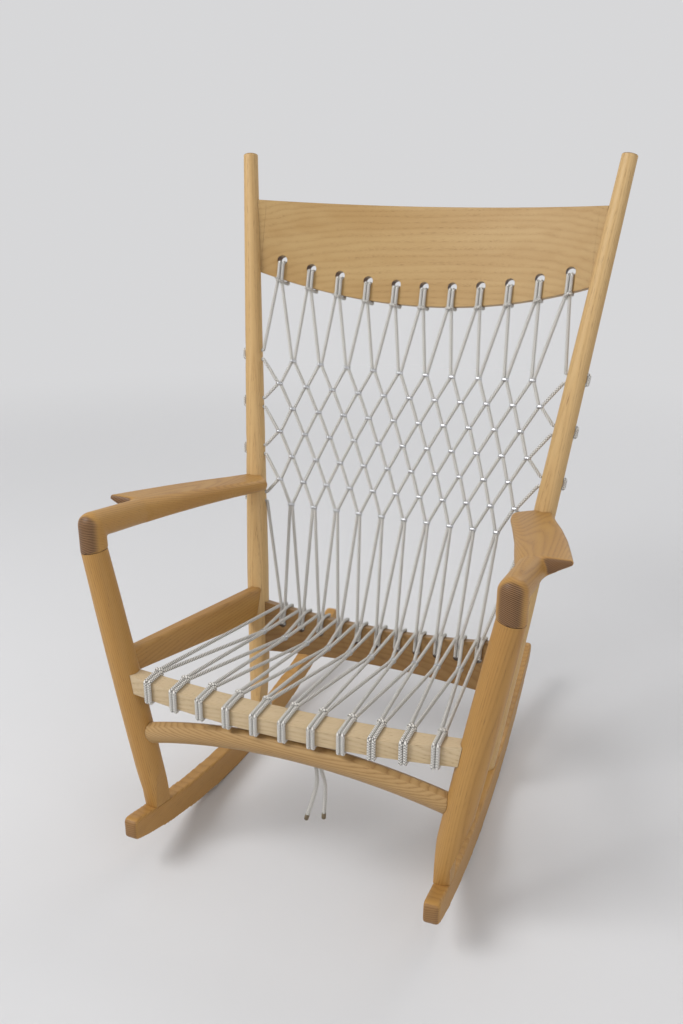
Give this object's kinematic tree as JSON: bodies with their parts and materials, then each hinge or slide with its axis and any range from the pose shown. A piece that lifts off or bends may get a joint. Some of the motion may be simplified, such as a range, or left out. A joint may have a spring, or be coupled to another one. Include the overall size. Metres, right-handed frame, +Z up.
{
  "type": "rocking chair",
  "caption": "Wooden rocking chair with leaning turned posts, a bowed top rail, paddle arms, long curved runners and a net of pale cord for its back and seat.",
  "frame": {"origin": "on the floor, under the middle of the chair's box; the runners touch the floor 33 mm in front of it", "axes": "+Z up; -Y is the chair's front, where the sitter's knees are; +X is to the right of someone who faces the chair; the chair mirrors across X = 0"},
  "size_m": [0.7356, 0.7928, 1.0741],
  "materials": {
    "wood": "oiled, open grain",
    "cord": "braided",
    "band": "bright",
    "whipping": "bound thread"
  },
  "bodies": {
    "root": {"back_post_left": "wood", "back_post_right": "wood", "front_leg_left": "wood", "front_leg_right": "wood", "rocker_left": "wood", "rocker_right": "wood", "arm_left": "wood", "arm_right": "wood", "top_rail": "wood", "rear_seat_rail": "wood", "side_rail_left": "wood", "side_rail_right": "wood", "front_rail": "wood", "front_stretcher": "wood", "arm_dowel_left": "wood", "arm_dowel_right": "wood", "back_cords": "cord", "seat_cords": "cord", "rail_hitches": "cord", "cord_tail_left": "cord", "cord_tail_right": "cord", "net_bands": "band", "seat_bands": "band", "tail_whippings": "whipping"}
  },
  "joints": []
}
